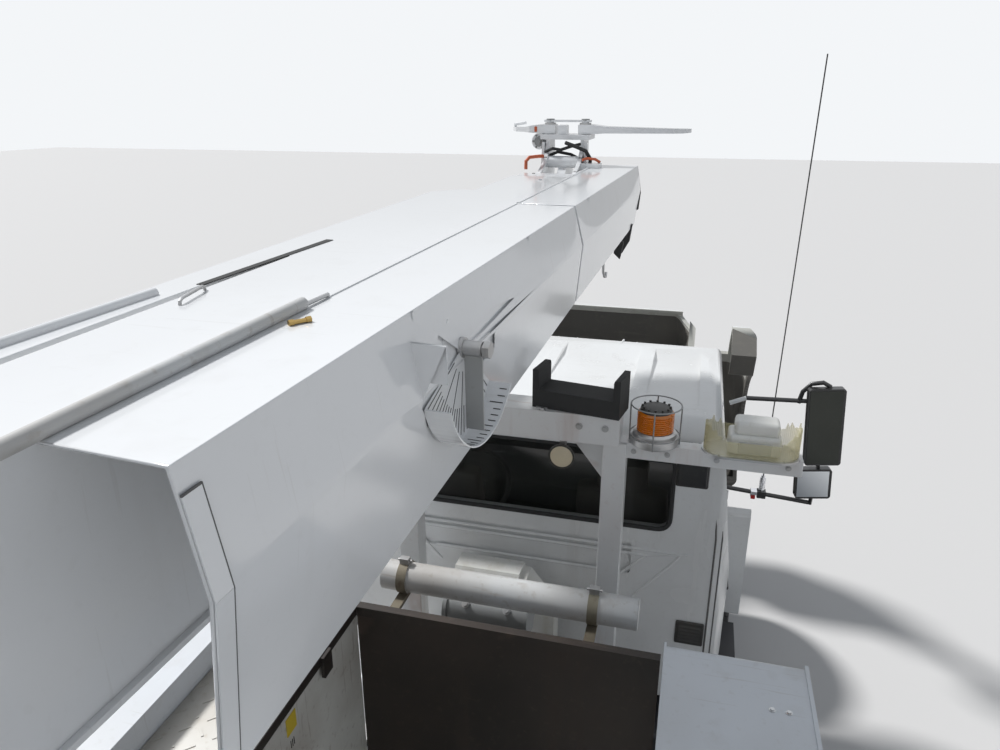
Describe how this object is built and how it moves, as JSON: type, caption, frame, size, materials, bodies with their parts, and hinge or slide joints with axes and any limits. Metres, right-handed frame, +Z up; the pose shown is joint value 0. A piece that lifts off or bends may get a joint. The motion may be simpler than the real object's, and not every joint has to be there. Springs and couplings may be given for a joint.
{
  "type": "digger derrick truck",
  "caption": "Utility truck with a slewing telescopic derrick, side-stowed auger, winch, pole guide, outriggers, tool bins, and its hood tipped open",
  "frame": {"origin": "middle of the bounding box on the ground below the tyres", "axes": "+X is the truck's right, +Y is forward, +Z is up"},
  "size_m": [3.3046, 9.5105, 4.1801],
  "materials": {
    "white_paint": "gloss white, worn and dusty",
    "chassis_black": "satin black",
    "tyre_rubber": "road-worn rubber on white discs",
    "machine_grey": "grey, greasy",
    "tank_metal": "dull",
    "auger_steel": "scoured by soil",
    "rod_chrome": "polished",
    "window_glass": "tinted",
    "cab_trim": "grained, with cloth seats",
    "bare_steel": "dark, scratched and rusty",
    "black_rubber": "matt",
    "lamp_plastic": "translucent"
  },
  "bodies": {
    "truck": {"body_deck": "white_paint", "bulkhead": "bare_steel", "cab_glass": "window_glass", "cab_interior": "cab_trim", "cab_shell": "white_paint", "engine_block": "machine_grey", "frame_rails": "chassis_black", "front_axle": "chassis_black", "front_bumper": "chassis_black", "hydraulic_tank": "white_paint", "pedestal": "white_paint", "rack": "white_paint", "rear_axle": "chassis_black", "rear_bumper": "chassis_black", "saddle": "black_rubber", "side_bin_left": "white_paint", "side_bin_right": "white_paint", "side_tanks": "tank_metal", "warning_lamps": "lamp_plastic"},
    "turret": {"turret": "white_paint"},
    "boom": {"lower_boom": "white_paint", "shroud": "white_paint", "auger_drive": "machine_grey"},
    "middle_boom": {"mid_boom": "white_paint"},
    "upper_boom": {"tip_boom": "white_paint"},
    "guide_right": {"guide_arm_right": "white_paint"},
    "guide_left": {"guide_arm_left": "white_paint"},
    "winch": {"winch_drum": "machine_grey"},
    "auger": {"auger": "auger_steel"},
    "cylinder_barrel": {"lift_barrel": "white_paint"},
    "cylinder_rod": {"lift_rod": "rod_chrome"},
    "hood": {"hood": "white_paint"},
    "cab_door_right": {"cab_door_right": "white_paint", "door_glass_right": "window_glass"},
    "cab_door_left": {"cab_door_left": "white_paint", "door_glass_left": "window_glass"},
    "steering_right": {"knuckle_right": "chassis_black"},
    "front_wheel_right": {"front_wheel_right": "tyre_rubber"},
    "rear_wheels_right": {"rear_wheels_right": "tyre_rubber"},
    "bin_door_rear_right": {"bin_door_rear_right": "white_paint"},
    "outrigger_rear_right": {"outrigger_leg_rear_right": "white_paint"},
    "bin_door_front_right": {"bin_door_front_right": "white_paint"},
    "outrigger_front_right": {"outrigger_leg_front_right": "white_paint"},
    "steering_left": {"knuckle_left": "chassis_black"},
    "front_wheel_left": {"front_wheel_left": "tyre_rubber"},
    "rear_wheels_left": {"rear_wheels_left": "tyre_rubber"},
    "bin_door_rear_left": {"bin_door_rear_left": "white_paint"},
    "outrigger_rear_left": {"outrigger_leg_rear_left": "white_paint"},
    "bin_door_front_left": {"bin_door_front_left": "white_paint"},
    "outrigger_front_left": {"outrigger_leg_front_left": "white_paint"}
  },
  "joints": [
    {"name": "slew", "type": "hinge", "parent": "truck", "child": "turret", "pos_m": [-0.471, -3.6435, 2.26], "axis": [0, 0, 1], "range_deg": [-4.6, 335]},
    {"name": "lift", "type": "hinge", "parent": "turret", "child": "boom", "pos_m": [-0.49214, -3.8926, 3.05], "axis": [0.9964, -0.0845, 0], "range_deg": [-3.35, 75]},
    {"name": "mid_extend", "type": "slide", "parent": "boom", "child": "middle_boom", "axis": [0.0845, 0.9957, 0.0384], "range_m": [0, 3]},
    {"name": "tip_extend", "type": "slide", "parent": "middle_boom", "child": "upper_boom", "axis": [0.0845, 0.9957, 0.0384], "range_m": [0, 2.9]},
    {"name": "winch_spin", "type": "hinge", "parent": "boom", "child": "winch", "pos_m": [-0.46419, -3.56324, 3.56307], "axis": [0.9964, -0.0845, 0], "continuous": true},
    {"name": "auger_spin", "type": "hinge", "parent": "boom", "child": "auger", "pos_m": [-0.70333, -1.56774, 3.1283], "axis": [0.0845, 0.9957, 0.0384], "continuous": true},
    {"name": "guide_right_swing", "type": "hinge", "parent": "upper_boom", "child": "guide_right", "pos_m": [0.12384, 2.24321, 3.79565], "axis": [-0.0032, -0.0383, 0.9993], "range_deg": [0, 75]},
    {"name": "guide_left_swing", "type": "hinge", "parent": "upper_boom", "child": "guide_left", "pos_m": [-0.06548, 2.25927, 3.79565], "axis": [-0.0032, -0.0383, 0.9993], "range_deg": [-76, 1]},
    {"name": "barrel_tilt", "type": "hinge", "parent": "turret", "child": "cylinder_barrel", "pos_m": [-0.47945, -3.74314, 2.45], "axis": [0.9964, -0.0845, 0], "range_deg": [-4.1, 63.8]},
    {"name": "rod_slide", "type": "slide", "parent": "cylinder_barrel", "child": "cylinder_rod", "axis": [0.0825, 0.9719, 0.2204], "range_m": [-0.04303, 0.67012]},
    {"name": "hood_tilt", "type": "hinge", "parent": "truck", "child": "hood", "pos_m": [0, 4.1365, 0.82], "axis": [-1, 0, 0], "range_deg": [-60, 0]},
    {"name": "steer_right", "type": "hinge", "parent": "truck", "child": "steering_right", "pos_m": [0.93, 3.1865, 0.52], "axis": [0, 0, 1], "range_deg": [-35, 35]},
    {"name": "front_spin_right", "type": "hinge", "parent": "steering_right", "child": "front_wheel_right", "pos_m": [1.04, 3.1865, 0.52], "axis": [1, 0, 0], "continuous": true},
    {"name": "rear_spin_right", "type": "hinge", "parent": "truck", "child": "rear_wheels_right", "pos_m": [0.91, -2.1435, 0.52], "axis": [1, 0, 0], "continuous": true},
    {"name": "cab_door_right_swing", "type": "hinge", "parent": "truck", "child": "cab_door_right", "pos_m": [1.054, 2.4965, 1.03], "axis": [0, 0, 1], "range_deg": [0, 70]},
    {"name": "bin_door_rear_right_swing", "type": "hinge", "parent": "truck", "child": "bin_door_rear_right", "pos_m": [1.228, -2.8435, 0.74], "axis": [0, 0, 1], "range_deg": [0, 95]},
    {"name": "bin_door_front_right_swing", "type": "hinge", "parent": "truck", "child": "bin_door_front_right", "pos_m": [1.228, 0.2965, 0.6], "axis": [0, 0, 1], "range_deg": [0, 95]},
    {"name": "outrigger_rear_right_slide", "type": "slide", "parent": "truck", "child": "outrigger_rear_right", "axis": [0.4226, 0, -0.9063], "range_m": [0, 0.2556]},
    {"name": "outrigger_front_right_slide", "type": "slide", "parent": "truck", "child": "outrigger_front_right", "axis": [0.4226, 0, -0.9063], "range_m": [0, 0.2556]},
    {"name": "steer_left", "type": "hinge", "parent": "truck", "child": "steering_left", "pos_m": [-0.93, 3.1865, 0.52], "axis": [0, 0, 1], "range_deg": [-35, 35]},
    {"name": "front_spin_left", "type": "hinge", "parent": "steering_left", "child": "front_wheel_left", "pos_m": [-1.04, 3.1865, 0.52], "axis": [1, 0, 0], "continuous": true},
    {"name": "rear_spin_left", "type": "hinge", "parent": "truck", "child": "rear_wheels_left", "pos_m": [-0.91, -2.1435, 0.52], "axis": [1, 0, 0], "continuous": true},
    {"name": "cab_door_left_swing", "type": "hinge", "parent": "truck", "child": "cab_door_left", "pos_m": [-1.054, 2.4965, 1.03], "axis": [0, 0, -1], "range_deg": [0, 70]},
    {"name": "bin_door_rear_left_swing", "type": "hinge", "parent": "truck", "child": "bin_door_rear_left", "pos_m": [-1.228, -2.8435, 0.74], "axis": [0, 0, -1], "range_deg": [0, 95]},
    {"name": "bin_door_front_left_swing", "type": "hinge", "parent": "truck", "child": "bin_door_front_left", "pos_m": [-1.228, 0.2965, 0.6], "axis": [0, 0, -1], "range_deg": [0, 95]},
    {"name": "outrigger_rear_left_slide", "type": "slide", "parent": "truck", "child": "outrigger_rear_left", "axis": [-0.4226, 0, -0.9063], "range_m": [0, 0.2556]},
    {"name": "outrigger_front_left_slide", "type": "slide", "parent": "truck", "child": "outrigger_front_left", "axis": [-0.4226, 0, -0.9063], "range_m": [0, 0.2556]}
  ],
  "couplings": [
    {"joint": "barrel_tilt", "follows": "lift", "ratio": 0.83321},
    {"joint": "rod_slide", "follows": "lift", "m_per_rad": 0.50145},
    {"joint": "steer_right", "follows": "steer_left", "ratio": 1},
    {"joint": "guide_left_swing", "follows": "guide_right_swing", "ratio": -1}
  ]
}
